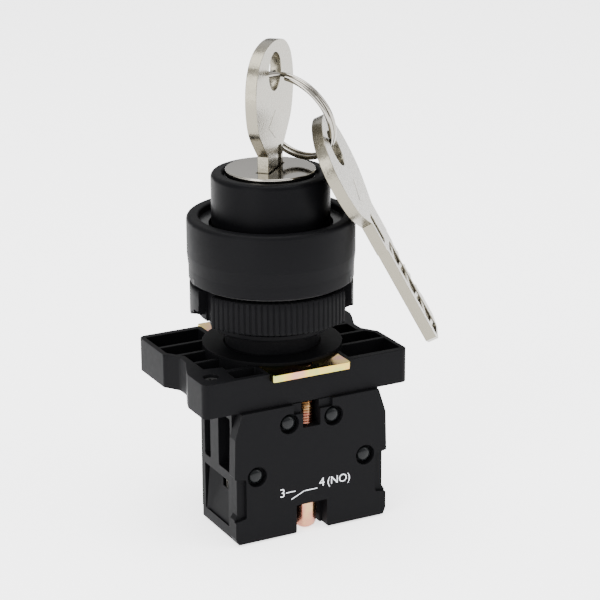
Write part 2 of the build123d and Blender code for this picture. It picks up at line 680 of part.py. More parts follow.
def coil_spring(radius, wire, height, turns):
    """One upright coil standing on z = 0."""
    with BuildPart() as coil:
        with BuildLine():
            Helix(pitch=height / turns, height=height, radius=radius)
        with BuildSketch(Plane(origin=(radius, 0, 0), z_dir=(0, 1, height / turns / radius / 6.28))):
            Circle(wire)
        sweep()
    return coil.part


with BuildPart() as bridge_spring:
    add(Location((0, PLUNGER_Y, BRIDGE_Z + 0.52)) * coil_spring(0.95, 0.2, 3.7, 4.5))
save(bridge_spring, "bridge_spring")

with BuildPart() as return_spring:
    add(Location((0, PLUNGER_Y, -41.15)) * coil_spring(1.9, 0.25, 10.1, 6.5))
save(return_spring, "return_spring")

for side, name in ((-1, "terminal_left"), (1, "terminal_right")):
    with BuildPart() as terminal:
        with BuildSketch(Plane.XY.offset(-33.0)):
            with Locations((side * 9.0, PLUNGER_Y)):
                Rectangle(7.8, 5.2)
        extrude(amount=0.9)
        with BuildSketch(Plane.XY.offset(-33.0)):
            with Locations((side * TERMINAL_X, PLUNGER_Y)):
                Circle(1.8)
        extrude(amount=3, mode=Mode.SUBTRACT)
        with BuildSketch(Plane.XY.offset(-32.1)):
            with Locations((side * 6.2, PLUNGER_Y)):
                Rectangle(2.2, 3.4)
        extrude(amount=1.2)
    save(terminal, name)

with BuildPart() as fixed_tips:
    with BuildSketch(Plane.XY.offset(-30.9)):
        with Locations((-6.0, PLUNGER_Y), (6.0, PLUNGER_Y)):
            Circle(1.05)
    extrude(amount=0.5)
save(fixed_tips, "fixed_tips")

with BuildPart() as terminal_screws:
    for side in (-1, 1):
        with BuildSketch(Plane.XY.offset(-39.4)):
            with Locations((side * TERMINAL_X, PLUNGER_Y)):
                Circle(2.05)
        extrude(amount=1.8)
        with BuildSketch(Plane.XY.offset(-37.6)):
            with Locations((side * TERMINAL_X, PLUNGER_Y)):
                Circle(1.72)
        extrude(amount=5.4)
        with BuildSketch(Plane.XY.offset(-39.4)):
            with Locations((side * TERMINAL_X, PLUNGER_Y)):
                Rectangle(3.2, 0.7)
                Rectangle(0.7, 3.2)
        extrude(amount=0.9, mode=Mode.SUBTRACT)
save(terminal_screws, "terminal_screws")

with BuildPart() as clamp_washers:
    for side in (-1, 1):
        with BuildSketch(Plane.XY.offset(-37.58)):
            with Locations((side * TERMINAL_X, PLUNGER_Y)):
                Rectangle(4.2, 7.2)
                Circle(1.8, mode=Mode.SUBTRACT)
        extrude(amount=0.9)
save(clamp_washers, "clamp_washers")

with BuildPart() as block_screw:
    with BuildSketch(Plane.XZ):
        with BuildLine():
            Polyline(
                (0, -12.8), (1.1, -12.8), (1.48, -13.1), (1.48, -25.0), (1.2, -25.4),
                (1.2, -37.6), (1.95, -37.6), (1.95, -42.2), (1.3, -43.0), (0, -43.1),
                (0, -12.8),
            )
        make_face()
    revolve(axis=Axis.Z)
    with BuildSketch(Plane.XY.offset(-43.2)):
        Rectangle(5, 0.6)
    extrude(amount=1.2, mode=Mode.SUBTRACT)
block_screw.part = block_screw.part.moved(Location((0, -FIXING_Y, 0)))
save(block_screw, "block_screw")
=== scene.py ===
# %% [markdown]
# # Key selector switch
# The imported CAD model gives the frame: bodies, nodes and joints. Each step below
# models one visible piece in detail, hides the CAD node it stands for, and lets
# it ride on the right body. Lengths are written in millimetres and scaled once.

# %%
import bpy, bmesh, json, math
from mathutils import Matrix, Vector


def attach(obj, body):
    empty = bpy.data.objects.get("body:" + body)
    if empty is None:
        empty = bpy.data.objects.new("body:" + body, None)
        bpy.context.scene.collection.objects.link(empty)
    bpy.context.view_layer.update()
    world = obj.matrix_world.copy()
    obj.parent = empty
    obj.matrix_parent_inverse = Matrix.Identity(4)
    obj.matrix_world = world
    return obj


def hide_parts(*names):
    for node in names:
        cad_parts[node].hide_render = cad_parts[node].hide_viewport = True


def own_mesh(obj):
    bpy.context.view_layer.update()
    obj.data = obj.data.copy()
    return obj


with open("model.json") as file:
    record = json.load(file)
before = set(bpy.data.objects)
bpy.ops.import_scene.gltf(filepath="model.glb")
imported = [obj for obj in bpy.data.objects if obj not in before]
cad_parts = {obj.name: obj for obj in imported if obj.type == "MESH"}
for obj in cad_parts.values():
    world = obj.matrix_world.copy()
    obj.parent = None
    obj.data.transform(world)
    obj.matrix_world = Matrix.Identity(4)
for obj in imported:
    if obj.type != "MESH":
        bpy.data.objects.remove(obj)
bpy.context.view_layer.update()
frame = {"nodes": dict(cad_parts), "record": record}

MM = 0.001
BODY_OF = {}
for body_name, nodes in frame["record"]["behaviour"]["bodies"].items():
    for node in nodes:
        BODY_OF[node] = body_name

# %% [markdown]
# ## Materials
# Everything is built from noise on object coordinates, so the grain sits still on
# the piece. `bump` is the height of the fine grain in millimetres.

# %%
def material(name, base, metallic=0.0, rough=0.4, rough_var=0.0, grain=400.0, bump=0.0, tints=(),
             tint_scale=60.0, spec=0.5):
    mat = bpy.data.materials.new(name)
    mat.use_nodes = True
    nt = mat.node_tree
    bsdf = nt.nodes["Principled BSDF"]
    bsdf.inputs["Base Color"].default_value = (*base, 1)
    bsdf.inputs["Metallic"].default_value = metallic
    bsdf.inputs["Roughness"].default_value = rough
    bsdf.inputs["Specular IOR Level"].default_value = spec
    coords = nt.nodes.new("ShaderNodeTexCoord")
    if rough_var or bump:
        noise = nt.nodes.new("ShaderNodeTexNoise")
        noise.inputs["Scale"].default_value = grain
        noise.inputs["Detail"].default_value = 4
        nt.links.new(coords.outputs["Object"], noise.inputs["Vector"])
        if rough_var:
            spread = nt.nodes.new("ShaderNodeMapRange")
            spread.inputs["To Min"].default_value = rough - rough_var
            spread.inputs["To Max"].default_value = rough + rough_var
            nt.links.new(noise.outputs["Fac"], spread.inputs["Value"])
            nt.links.new(spread.outputs["Result"], bsdf.inputs["Roughness"])
        if bump:
            node = nt.nodes.new("ShaderNodeBump")
            node.inputs["Strength"].default_value = 1.0
            node.inputs["Distance"].default_value = bump * MM
            nt.links.new(noise.outputs["Fac"], node.inputs["Height"])
            nt.links.new(node.outputs["Normal"], bsdf.inputs["Normal"])
    if tints:
        first, last = 0.34, 0.66
        clouds = nt.nodes.new("ShaderNodeTexNoise")
        clouds.inputs["Scale"].default_value = tint_scale
        clouds.inputs["Detail"].default_value = 2
        nt.links.new(coords.outputs["Object"], clouds.inputs["Vector"])
        ramp = nt.nodes.new("ShaderNodeValToRGB")
        ramp.color_ramp.elements[0].position = first
        ramp.color_ramp.elements[0].color = (*tints[0], 1)
        ramp.color_ramp.elements[1].position = last
        ramp.color_ramp.elements[1].color = (*tints[-1], 1)
        for i, tint in enumerate(tints[1:-1], 1):
            place = first + (last - first) * i / (len(tints) - 1)
            ramp.color_ramp.elements.new(place).color = (*tint, 1)
        nt.links.new(clouds.outputs["Fac"], ramp.inputs["Fac"])
        nt.links.new(ramp.outputs["Color"], bsdf.inputs["Base Color"])
    return mat


BLACK = material("black moulding", (0.0035, 0.0035, 0.004), rough=0.50, rough_var=0.05, grain=900, bump=0.004,
                 spec=0.04)
BLACK_SHINY = material("black gloss moulding", (0.005, 0.0055, 0.006), rough=0.25, rough_var=0.04, grain=700,
                       bump=0.002, spec=0.12)
BLACK_CAP = material("black cap moulding", (0.0025, 0.0025, 0.003), rough=0.42, rough_var=0.05, grain=800,
                     bump=0.003, spec=0.04)
BLACK_OXIDE = material("black oxide steel", (0.03, 0.03, 0.03), metallic=0.6, rough=0.5)
DULL_PLATE = material("dull plated steel", (0.16, 0.15, 0.13), metallic=1, rough=0.45)
RUBBER = material("gasket rubber", (0.02, 0.02, 0.02), rough=0.75)
NICKEL = material("polished nickel", (0.28, 0.265, 0.235), metallic=1, rough=0.10, rough_var=0.04, grain=250)
KEY_METAL = material("satin nickel", (0.20, 0.185, 0.145), metallic=1, rough=0.25, rough_var=0.12, grain=2200,
                     bump=0.03)
BRASS = material("brass", (0.80, 0.60, 0.28), metallic=1, rough=0.25, rough_var=0.05, grain=300)
ZINC = material("zinc casting", (0.52, 0.52, 0.53), metallic=1, rough=0.42, rough_var=0.08, grain=500)
SPRING = material("spring steel", (0.6, 0.6, 0.6), metallic=1, rough=0.25)
CHROMATE = material("yellow chromate", (0.8, 0.7, 0.35), metallic=1, rough=0.13, rough_var=0.05, grain=500,
                    bump=0.004, tint_scale=210,
                    tints=((0.24, 0.34, 0.12), (0.50, 0.40, 0.08), (0.52, 0.32, 0.09), (0.46, 0.22, 0.16)))
COPPERY = material("rose passivated steel", (0.8, 0.5, 0.4), metallic=1, rough=0.26, rough_var=0.08, grain=300,
                   tints=((0.46, 0.23, 0.14), (0.44, 0.18, 0.13), (0.46, 0.29, 0.14)), tint_scale=260)
SILVER = material("contact silver", (0.88, 0.88, 0.86), metallic=1, rough=0.2)
ACETAL = material("natural acetal", (0.72, 0.70, 0.64), rough=0.4)
GREEN = material("green acetal", (0.03, 0.25, 0.08), rough=0.4)
WHITE_INK = material("white print", (0.80, 0.83, 0.87), rough=0.6)
print("materials", len(bpy.data.materials))

# %% [markdown]
# ## Rounded outlines
# A corner is written as (x, y, radius). `rounded` swaps each corner for a small
# arc, and every turned or extruded piece below starts from such an outline.

# %%
def rounded(corners, steps=4, closed=True):
    pts, n = [], len(corners)
    for i, corner in enumerate(corners):
        p = Vector(corner[:2])
        radius = corner[2] if len(corner) > 2 else 0
        if not radius or (not closed and i in (0, n - 1)):
            pts.append(p)
            continue
        to_a = Vector(corners[i - 1][:2]) - p
        to_b = Vector(corners[(i + 1) % n][:2]) - p
        half = to_a.angle(to_b) / 2
        cut = min(radius / math.tan(half), 0.49 * to_a.length, 0.49 * to_b.length)
        radius = cut * math.tan(half)
        centre = p + (to_a.normalized() + to_b.normalized()).normalized() * (radius / math.sin(half))
        start, end = p + to_a.normalized() * cut - centre, p + to_b.normalized() * cut - centre
        sweep = start.angle_signed(end)
        for k in range(steps + 1):
            turn = -sweep * k / steps
            pts.append(centre + Vector((start.x * math.cos(turn) - start.y * math.sin(turn),
                                        start.x * math.sin(turn) + start.y * math.cos(turn))))
    return [(p.x, p.y) for p in pts]


def finish_piece(bm, name, mat, node=None, body=None, smooth=35, weighted=False):
    bmesh.ops.recalc_face_normals(bm, faces=bm.faces)
    mesh = bpy.data.meshes.new(name)
    bm.to_mesh(mesh)
    bm.free()
    mesh.materials.append(mat)
    for poly in mesh.polygons:
        poly.use_smooth = True
    mesh.set_sharp_from_angle(angle=math.radians(smooth))
    obj = bpy.data.objects.new(name, mesh)
    bpy.context.collection.objects.link(obj)
    if weighted:
        obj.modifiers.new("even shading", "WEIGHTED_NORMAL").keep_sharp = True
    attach(obj, body or BODY_OF[node])
    if node:
        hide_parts(node)
    print(name, "faces", len(mesh.polygons))


def turned(profile, steps=160):
    """A ring turned about Z from a closed (radius, z) outline."""
    bm = bmesh.new()
    verts = [bm.verts.new((r * MM, 0, z * MM)) for r, z in profile]
    edges = [bm.edges.new((verts[i], verts[(i + 1) % len(verts)])) for i in range(len(verts))
             if not (profile[i][0] == 0 and profile[(i + 1) % len(verts)][0] == 0)]
    bmesh.ops.spin(bm, geom=verts + edges, cent=(0, 0, 0), axis=(0, 0, 1), angle=math.tau,
                   steps=steps, use_merge=True)
    bmesh.ops.remove_doubles(bm, verts=bm.verts, dist=1e-7)
    return bm


# %% [markdown]
# ## Bezel
# A plain black ring. Its rim is a rounded lip around a glossy sunk ring, and four
# dark blocks at its lower edge are painted shade that stands in for notches.

# %%
bm = turned(rounded([(12.0, 0.0, 0), (14.5, 0.0, 0.25), (14.52, 2.3, 2.0), (14.75, 4.6, 2.0),
                     (14.75, 11.3, 0.75), (12.55, 11.3, 0.45), (12.6, 9.95, 0.12), (10.85, 9.7, 0),
                     (10.85, 8.7, 0), (12.0, 8.7, 0)]))
finish_piece(bm, "bezel_body", BLACK, "bezel_ring")
# Painted shade: flush dark blocks on the rim where the notch recesses would lie in shadow.
for notch, angle in enumerate((175, 315, 355, 135)):
    bm = bmesh.new()
    bmesh.ops.create_cube(bm, size=1, matrix=Matrix.Rotation(math.radians(angle), 4, "Z")
                          @ Matrix.Translation((14.46 * MM, 0, 0.55 * MM))
                          @ Matrix.Diagonal((0.16 * MM, 1.1 * MM, 1.0 * MM, 1)))
    finish_piece(bm, f"bezel_notch_painted_shade_{notch}", RUBBER, body=BODY_OF["bezel_ring"])

bm = turned(rounded([(10.87, 9.72, 0), (12.5, 9.96, 0), (12.5, 9.9, 0), (10.87, 9.66, 0)]))
finish_piece(bm, "bezel_recess_gloss", BLACK_SHINY, body=BODY_OF["bezel_ring"])

# %% [markdown]
# ## Barrel and neck
# The thread is a stack of rings. The neck below it is smooth.

# %%
THREAD_PITCH = 1.5
profile = [(8.85, 8.6), (12.0, 8.6), (12.0, 0.0), (11.0, 0.0)]
for turn in range(5):
    z = -0.4 - THREAD_PITCH * turn
    profile += [(11.0, z - 0.15), (10.35, z - 0.65), (10.35, z - 0.85), (11.0, z - 1.35)]
profile += [(11.0, -8.4), (10.7, -8.68), (8.55, -8.7), (8.4, -8.85), (8.4, -14.9), (7.2, -14.9), (7.2, -7.8),
            (8.85, -7.1)]
finish_piece(turned(profile, 128), "barrel", BLACK, "operator_body")

# %% [markdown]
# ## Mounting nut
# The outside is a grid of points: a radius that depends on the angle and the
# height gives the fine ribs, the deep finger slots and the plain grips.

# %%
RIBBED_CENTRES = (250.75, 70.75)
SLOT_AWAY, SLOT_HALF_WIDTH = 61.25, 7.1
RIBS_PER_TURN = 90
NUT_BORE = 11.06


def nut_radius(angle, z):
    """Ribbed near the two centres, then a finger slot, then a plain grip with a slanted foot."""
    away, signed = min((abs((angle - centre + 180) % 360 - 180), (angle - centre + 180) % 360 - 180)
                       for centre in RIBBED_CENTRES)
    if abs(away - SLOT_AWAY) < SLOT_HALF_WIDTH:
        return 12.6
    if away < SLOT_AWAY:
        crest = 0.5 + 0.5 * math.cos(math.radians(signed) * RIBS_PER_TURN)
        return 14.34 + 0.21 * min(1, 2.6 * crest)
    if z < -4.3 - 0.10 * (away - 68):
        return 13.0
    return 14.4


def around_z(radius, part, z):
    """A point in metres at this share of a full turn."""
    return radius * math.cos(math.tau * part) * MM, radius * math.sin(math.tau * part) * MM, z * MM


levels = [-0.7, -0.95, -2.2, -3.4, -4.39, -4.6, -5.3, -5.9, -6.2, -6.4]
count = 1440
bm = bmesh.new()
rows = []
for i, z in enumerate(levels):
    inset = 0.22 if i in (0, len(levels) - 1) else 0
    rows.append([bm.verts.new(around_z(nut_radius(360 * k / count, z) - inset, k / count, z))
                 for k in range(count)])
for z in (levels[-1], levels[0]):
    rows.append([bm.verts.new(around_z(NUT_BORE, k / count, z)) for k in range(count)])
rows.append(rows[0])
for low, high in zip(rows, rows[1:]):
    for k in range(count):
        bm.faces.new((low[k], low[(k + 1) % count], high[(k + 1) % count], high[k]))
finish_piece(bm, "ring_nut", BLACK, "mounting_nut", smooth=50)

# %% [markdown]
# ## Cap and lock face
# The cap is a black turned cup. The bright disc stands half a millimetre proud
# and carries the slot for the key.

# %%
bm = turned(rounded([(7.75, -7.0, 0), (8.85, -7.0, 0), (8.85, 8.65, 0), (10.35, 8.65, 0), (10.4, 18.85, 0.9),
                     (8.6, 18.85, 0.15), (8.3, 18.55, 0.1), (8.15, 17.95, 0), (7.75, 17.95, 0)], steps=6))
finish_piece(bm, "cap", BLACK_CAP, "lock_surround")


def prism(outline, wells=(), low=0.0, high=1.0, bevel=0.0, segments=2, sharp=30, square=()):
    """An extruded outline in XY from low to high. wells are (loop, floor) sunk from the top, and a floor of
    None goes right through. Edges sharper than the angle get a small round, but those in the planes listed in
    square stay as they are."""
    bm = bmesh.new()
    low, high = low * MM, high * MM

    def loop_at(loop, z):
        verts = [bm.verts.new((x * MM, y * MM, z)) for x, y in loop]
        return verts, [bm.edges.new((verts[i], verts[(i + 1) % len(verts)])) for i in range(len(verts))]

    def walls(a, b):
        for i in range(len(a)):
            bm.faces.new((a[i], a[(i + 1) % len(a)], b[(i + 1) % len(b)], b[i]))

    top, top_edges = loop_at(outline, high)
    bottom, bottom_edges = loop_at(outline, low)
    walls(bottom, top)
    for loop, floor in wells:
        verts, edges = loop_at(loop, high)
        top_edges += edges
        below, below_edges = loop_at(loop, low if floor is None else floor * MM)
        walls(verts, below)
        if floor is None:
            bottom_edges += below_edges
        else:
            bmesh.ops.triangle_fill(bm, use_beauty=True, edges=below_edges)
    bmesh.ops.triangle_fill(bm, use_beauty=True, edges=top_edges)
    bmesh.ops.triangle_fill(bm, use_beauty=True, edges=bottom_edges)
    bmesh.ops.recalc_face_normals(bm, faces=bm.faces)
    if bevel:
        bmesh.ops.dissolve_limit(bm, angle_limit=math.radians(1), verts=bm.verts, edges=bm.edges)
        chosen = [e for e in bm.edges if len(e.link_faces) == 2 and e.calc_face_angle() > math.radians(sharp)
                  and not any(abs(e.verts[0].co.z - z * MM) + abs(e.verts[1].co.z - z * MM) < 1e-7
                              for z in square)]
        bmesh.ops.bevel(bm, geom=chosen, offset=bevel * MM, offset_type="OFFSET", segments=segments,
                        profile=0.5, affect="EDGES", clamp_overlap=True, material=-1)
    return bm


def circle(cx, cy, radius, steps=48):
    return [(cx + radius * math.cos(math.tau * k / steps), cy + radius * math.sin(math.tau * k / steps))
            for k in range(steps)]


def box_loop(x0, y0, x1, y1, radius=0.0):
    return rounded([(x0, y0, radius), (x1, y0, radius), (x1, y1, radius), (x0, y1, radius)], steps=3)


def joined(*parts):
    """Several bmeshes as one."""
    whole = bmesh.new()
    for part in parts:
        mesh = bpy.data.meshes.new("part")
        part.to_mesh(mesh)
        part.free()
        whole.from_mesh(mesh)
        bpy.data.meshes.remove(mesh)
    return whole


FRONTWARD = Matrix.Rotation(math.radians(90), 4, "X")  # (x, z) outlines that thicken towards -Y


def placed(bm, matrix):
    bmesh.ops.transform(bm, matrix=matrix, verts=bm.verts)
    return bm


KEY_TURN = Matrix.Rotation(math.radians(45), 4, "Z")
bm = prism(circle(0, 0, 7.85, 160), [(box_loop(-4.25, -1.2, 4.25, 1.2, 0.2), None)], 18.3, 19.4, bevel=0.28,
           segments=4, sharp=50)
placed(bm, KEY_TURN)
finish_piece(bm, "lock_face", NICKEL, "plug_face", smooth=60, weighted=True)

# %% [markdown]
# ## Keys
# Both keys are one design: an oval bow with a ring hole and a plain lozenge, a
# broad shoulder, and a bitted blade. Each side has a milled channel crossed by the
# cuts of the code.

# %%
def catmull(points, steps=5):
    out = []
    n = len(points)
    for i in range(n - 1):
        p0, p1 = Vector(points[max(i - 1, 0)]), Vector(points[i])
        p2, p3 = Vector(points[i + 1]), Vector(points[min(i + 2, n - 1)])
        for k in range(steps):
            t = k / steps
            out.append(tuple(0.5 * ((2 * p1) + (p2 - p0) * t + (2 * p0 - 5 * p1 + 4 * p2 - p3) * t * t
                                    + (3 * p1 - p0 - 3 * p2 + p3) * t ** 3)))
    out.append(tuple(points[-1]))
    return out


KEY_TOP = 41.7
bow_right = [(4.0, 22.3), (6.1, 24.3), (8.6, 27.0), (9.8, 29.9), (10.2, 33.0), (9.8, 36.0), (8.3, 38.8),
             (5.1, 40.9), (0, KEY_TOP)]
bow_path = catmull(bow_right + [(-x, z) for x, z in reversed(bow_right[:-1])])
bits = [(-3.5, -2.6)]
for level, depth in zip((3.3, 5.7, 8.1, 10.5, 12.9), (0.5, 1.3, 0.8, 1.6, 0.6)):
    bits += [(-3.5, level - 1.1 - 0.4 * depth), (-3.5 + depth, level - 0.6), (-3.5 + depth, level + 0.6)]
bits += [(-3.5, 14.4), (-3.5, 16.2), (-4.0, 16.2)]
tip = [(4.0, 16.2), (3.5, 16.2), (3.5, -3.4), (2.2, -4.6), (-1.6, -4.6)]
key_outline = bow_path + list(reversed(tip + bits))


def key_mesh():
    parts = []
    for side in (1, -1):
        wells = [(circle(0, 36.4, 3.3, 40), None),
                 (box_loop(-1.5, -3.9, 1.9, 15.4, 0.35), 0.42),
                 (box_loop(1.3, 17.4, 3.0, 23.0, 0.3), 0.55)]
        half = prism(key_outline, wells, 0, 1.0, bevel=0.22, segments=3, sharp=40, square=(0,))
        gone = [f for f in half.faces if all(abs(v.co.z) < 1e-6 for v in f.verts)]
        bmesh.ops.delete(half, geom=gone, context="FACES")
        flip = Matrix.Diagonal((1, 1, side, 1))
        parts.append(placed(half, FRONTWARD @ flip))
        lozenge = prism([(-3.6, 27.2), (0, 24.7), (3.6, 27.2), (0, 29.7)], [], 0.9, 1.04, bevel=0.02)
        parts.append(placed(lozenge, FRONTWARD @ flip))
        for level, lean in ((-2.6, 0.7), (0.6, -0.6), (3.7, 0.8), (7.0, -0.7), (10.3, 0.6), (13.3, -0.5)):
            ridge = prism([(-1.7, level - lean), (2.1, level + lean), (2.1, level + lean + 0.9),
                           (-1.7, level - lean + 1.1)], [], 0.3, 0.86, bevel=0.12)
            parts.append(placed(ridge, FRONTWARD @ flip))
    return joined(*parts)


finish_piece(placed(key_mesh(), KEY_TURN), "key_in_use", KEY_METAL, "key", smooth=40,
             weighted=True)

spare_top = Vector((5.979, -5.774, 27.488))
down = Vector((0.4769, -0.0595, -0.8769)).normalized()
out = Vector((0.7461, -0.5001, 0.4397))
out = (out - down * out.dot(down)).normalized()
across = out.cross(-down)
spare_at = Matrix((across, (-down).cross(across), -down)).transposed().to_4x4()
spare_at.translation = (spare_top + down * KEY_TOP) * MM
finish_piece(placed(key_mesh(), spare_at), "key_spare", KEY_METAL, "spare_key", smooth=40,
             weighted=True)

# %% [markdown]
# ## Split ring
# One wire wound almost two turns. The two cut ends stay visible.

# %%
RING_RADIUS, WIRE_RADIUS, COIL_PITCH = 8.2, 0.42, 0.86
ring_centre = Vector((3.869, -1.273, 28.412))
ring_z = Vector((-0.8463, -0.404, -0.3471)).normalized()
ring_x = Vector((-0.5, 0.15, 1.02))
ring_x = (ring_x - ring_z * ring_x.dot(ring_z)).normalized()
ring_y = ring_z.cross(ring_x)
ring_at = Matrix((ring_x, ring_y, ring_z)).transposed()
bm = bmesh.new()
turns, around, along = 1.93, 14, 300
previous = None
for i in range(along + 1):
    a = math.tau * turns * i / along
    radial = Vector((math.cos(a), math.sin(a), 0))
    centre = RING_RADIUS * radial + Vector((0, 0, COIL_PITCH * (turns * i / along - turns / 2)))
    loop = []
    for k in range(around):
        b = math.tau * k / around
        skin = centre + WIRE_RADIUS * (radial * math.cos(b) + Vector((0, 0, 1)) * math.sin(b))
        loop.append(bm.verts.new((ring_at @ skin + ring_centre) * MM))
    if previous:
        for k in range(around):
            bm.faces.new((previous[k], previous[(k + 1) % around], loop[(k + 1) % around], loop[k]))
    if i in (0, along):
        bm.faces.new(loop)
    previous = loop
finish_piece(bm, "ring_wire", NICKEL, "split_ring", smooth=50)

# %% [markdown]
# ## Mounting collar
# The tray is two layers, split at the seat of the steel plate: a full lower
# layer, and an upper layer with the seat left open. Thin ribs cross the pockets,
# and a low roof ring covers the middle of the plate.

# %%
def arc(radius, start, end, steps=14):
    return [(radius * math.cos(math.radians(start + (end - start) * k / steps)),
             radius * math.sin(math.radians(start + (end - start) * k / steps))) for k in range(steps + 1)]


def turned_half(points):
    return [(-x, -y) for x, y in points]


left_side = [(-7.55, -14.2, 0), (-20, -14.2, 1.2), (-20, -7.6, 0.5), (-19.3, -5.6, 1.5), (-17.7, -1.9, 1.5),
             (-17.7, 0.6, 1.5), (-19.0, 2.6, 1.0), (-19.6, 3.4, 0.8), (-19.6, 14.2, 1.2), (-7.55, 14.2, 0)]
left_path = rounded(left_side, steps=4, closed=False)
full_outline = left_path + turned_half(left_path)
half_outline = left_path + arc(12.15, 128.4, 231.6, 40)
left_wells = [
    [(-18.7, 7.3), (-18.7, 12.9), (-8.4, 12.9)] + arc(12.4, 132.7, 143.9, 4),
    [(-17.5, 2.3), (-18.7, 3.9), (-18.7, 6.5)] + arc(12.4, 148.4, 169.3, 6),
    [(-16.5, -2.6), (-16.5, 1.0), (-16.9, 1.5)] + arc(12.4, 173.1, 192.1, 6),
    [(-13.2, -8.6), (-13.2, -7.2), (-16.5, -6.6), (-16.5, -3.4)] + arc(12.4, 195.9, 223.9, 8),
    box_loop(-13.6, -13.2, -8.2, -9.75, 0.3),
]
both_wells = left_wells + [turned_half(well) for well in left_wells]
bosses = [circle(side * 17.0, side * 10.7, 1.35, 32) for side in (1, -1)]
lower = prism(full_outline, [(well, -17.4) for well in both_wells] + [(boss, None) for boss in bosses]
              + [(circle(0, 0, 10.1, 96), None), (circle(0, 12.2, 1.75, 32), None),
                 (circle(0, -12.2, 1.75, 32), None)], -18.8, -13.9, bevel=0.22, square=(-13.9,))
halves = [placed(prism(half_outline, [(well, None) for well in left_wells] + [(bosses[1], None)], -13.9, -12.6,
                       bevel=0.18, square=(-13.9,)), Matrix.Rotation(turn, 4, "Z")) for turn in (0, math.pi)]
roof = turned(rounded([(8.5, -14.3, 0), (8.5, -12.0, 0.2), (12.4, -12.0, 0.06), (12.4, -12.57, 0),
                       (9.3, -12.57, 0), (9.3, -13.95, 0), (10.15, -13.95, 0), (10.15, -14.3, 0)]), 128)
finish_piece(joined(lower, *halves, roof), "collar", BLACK, "mounting_collar",
             weighted=True)

# %% [markdown]
# ## Steel plate
# A stamped ring with two tabs. The front tab shows at the edge of the collar.

# %%
plate_outline = rounded([(7.5, 9.4, 0), (7.5, 15.4, 0.5), (-7.5, 15.4, 0.5), (-7.5, 9.4, 0)], closed=False)
plate_outline += arc(12.0, 128.7, 231.3, 40)[1:-1]
plate_outline += rounded([(-7.5, -9.4, 0), (-7.5, -15.4, 0.5), (7.5, -15.4, 0.5), (7.5, -9.4, 0)], closed=False)
plate_outline += arc(12.0, -51.3, 51.3, 40)[1:-1]
bm = prism(plate_outline, [(circle(0, 0, 9.35, 96), None), (circle(0, 12.2, 1.55, 40), None),
                           (circle(0, -12.2, 1.55, 40), None)], -13.88, -12.6, bevel=0.12)
finish_piece(bm, "plate", CHROMATE, "clamp_plate", weighted=True)

# %% [markdown]
# ## Contact block housing
# The core, the two side frames with their windows, and a bottom plate with the
# screwdriver holes. The wire entries slope inwards.

# %%
core = prism([(-2.0, -12.8), (-9.0, -12.8), (-9.0, -0.3), (9.0, -0.3), (9.0, -12.8), (2.0, -12.8),
              (2.0, -10.35), (-2.0, -10.35)], [], -40.7, -18.8)
bottom = prism([(-2.6, -12.8), (-14.3, -12.8), (-14.3, -0.3), (14.3, -0.3), (14.3, -12.8), (2.6, -12.8),
                (2.6, -9.9), (-2.6, -9.9)],
               [(circle(side * 11.2, -6.4, 2.6, 40), None) for side in (1, -1)], -42.8, -40.7,
               bevel=0.2, square=(-40.7,))
frames = []
frame_outline = [(-12.8, -40.7), (-12.8, -18.8), (-0.3, -18.8), (-0.3, -40.7), (-1.7, -40.7), (-1.7, -32.1),
                 (-11.1, -32.1), (-11.1, -40.7)]
for side in (-1, 1):
    outward = Matrix(((0, 0, side, 0), (1, 0, 0, 0), (0, 1, 0, 0), (0, 0, 0, 1)))
    windows = [(box_loop(front, -30.4, rear, -20.4, 0.3), 8.95)
               for front, rear in ((-12.0, -7.4), (-4.1, -1.8))]
    frames.append(placed(prism(frame_outline, windows, 8.6, 14.3, bevel=0.18), outward))
    mouth = [(-11.0, -34.9), (-6.4, -34.9), (-6.4, -32.3), (-11.0, -32.3)]
    outer_rim = [(-12.3, -42.3), (-1.8, -42.3), (-3.6, -31.9), (-11.3, -31.9)]
    entry = bmesh.new()
    rims = [[entry.verts.new((u * MM, v * MM, depth * MM)) for u, v in loop]
            for loop, depth in ((outer_rim, 14.24), (mouth, 13.05), (mouth, 12.95))]
    for outer, inner in zip(rims, rims[1:]):
        for i in range(4):
            entry.faces.new((outer[i], outer[(i + 1) % 4], inner[(i + 1) % 4], inner[i]))
    frames.append(placed(entry, outward))
finish_piece(joined(core, bottom, *frames), "housing", BLACK, "block_housing",
             weighted=True)

# %% [markdown]
# ## Cover of the contact block
# A back layer with the full outline and a thin front layer cut away at the two
# side grips and at the top, where the screw shank shows.

# %%
STUDS = ((-4.3, -22.1), (4.3, -22.1), (-10.6, -30.7), (10.6, -30.7))
right_edge = [(13.3, -18.8, 0.2), (14.7, -23.2, 0.5), (14.9, -30.2, 0.3), (14.3, -30.6, 0.2),
              (14.3, -37.4, 0.3), (14.8, -38.2, 0.3), (14.8, -41.6, 0.3), (14.3, -42.8, 0.3)]
left_edge = [(-x, z, r) for x, z, r in reversed(right_edge)]
back_notches = [(1.7, -18.8, 0), (1.7, -23.3, 0.2), (-1.7, -23.3, 0.2), (-1.7, -18.8, 0)]
foot_notch = [(-3.0, -42.8, 0.3), (-3.0, -37.6, 0.2), (3.0, -37.6, 0.2), (3.0, -42.8, 0.3)]
back_outline = rounded(right_edge[::-1] + back_notches + left_edge[::-1] + foot_notch, steps=3)
front_right = [(14.3, -42.8, 0.3), (14.8, -41.6, 0.3), (14.8, -38.5, 0.2), (12.7, -38.1, 0.3),
               (12.7, -30.9, 0.3), (14.9, -30.5, 0.2), (14.7, -23.2, 0.5), (13.3, -18.8, 0.2)]
front_left = [(-x, z, r) for x, z, r in reversed(front_right)]
top_notch = [(4.1, -18.8, 0), (4.1, -20.3, 0.2), (1.7, -20.3, 0), (1.7, -23.3, 0.2), (-1.7, -23.3, 0.2),
             (-1.7, -20.6, 0), (-3.5, -20.6, 0.2), (-3.5, -18.8, 0)]
front_outline = rounded(front_right + top_notch + front_left + foot_notch, steps=3)
seats = [circle(x, z, 1.85, 40) for x, z in STUDS]
